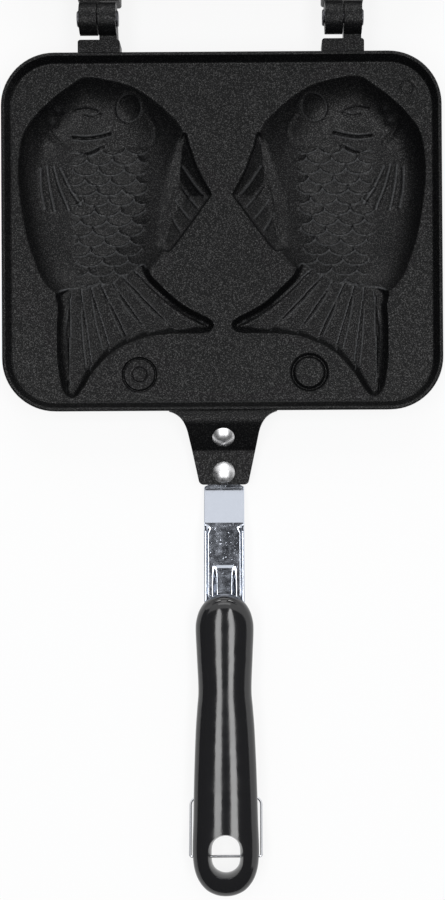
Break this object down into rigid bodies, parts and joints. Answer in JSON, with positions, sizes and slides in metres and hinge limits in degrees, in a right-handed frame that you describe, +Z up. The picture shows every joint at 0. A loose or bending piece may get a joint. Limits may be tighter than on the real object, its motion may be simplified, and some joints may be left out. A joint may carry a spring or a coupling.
{
  "type": "taiyaki maker",
  "caption": "Double-sided hinged pan with fish-shaped moulds in each half, riveted steel straps, black grips and a wire clasp, opened flat.",
  "frame": {"origin": "on the table, under the middle of the hinge line, with the pan opened flat", "axes": "+X along the hinge, +Y from the lower half's grip to the upper half's grip, +Z up out of the moulds"},
  "size_m": [0.165, 0.6586, 0.0226],
  "materials": {
    "casting": "die-cast, dark non-stick coating with a fine grain",
    "hinge_pin": "dark coated steel",
    "strap": "bright plated steel",
    "rivet": "bright satin",
    "grip": "glossy moulded black",
    "fastener": "zinc plated",
    "bail": "bright wire"
  },
  "bodies": {
    "lower_half": {"lower_casting": "casting", "hinge_pin_left": "hinge_pin", "hinge_pin_right": "hinge_pin", "lower_strap": "strap", "lower_inner_rivet": "rivet", "lower_outer_rivet": "rivet", "lower_grip": "grip", "lower_tie_screw": "fastener", "lower_strap_nut": "fastener"},
    "upper_half": {"upper_casting": "casting", "upper_strap": "strap", "upper_inner_rivet": "rivet", "upper_outer_rivet": "rivet", "upper_grip": "grip", "upper_tie_screw": "fastener", "upper_strap_nut": "fastener"},
    "clasp": {"clasp_bail": "bail"}
  },
  "joints": [
    {"name": "pan_hinge", "type": "hinge", "parent": "lower_half", "child": "upper_half", "pos_m": [0, 0, 0.01665], "axis": [1, 0, 0], "range_deg": [0, 180]},
    {"name": "clasp_swing", "type": "hinge", "parent": "lower_half", "child": "clasp", "pos_m": [0, -0.31425, 0.0093], "axis": [-1, 0, 0], "range_deg": [0, 247]}
  ]
}
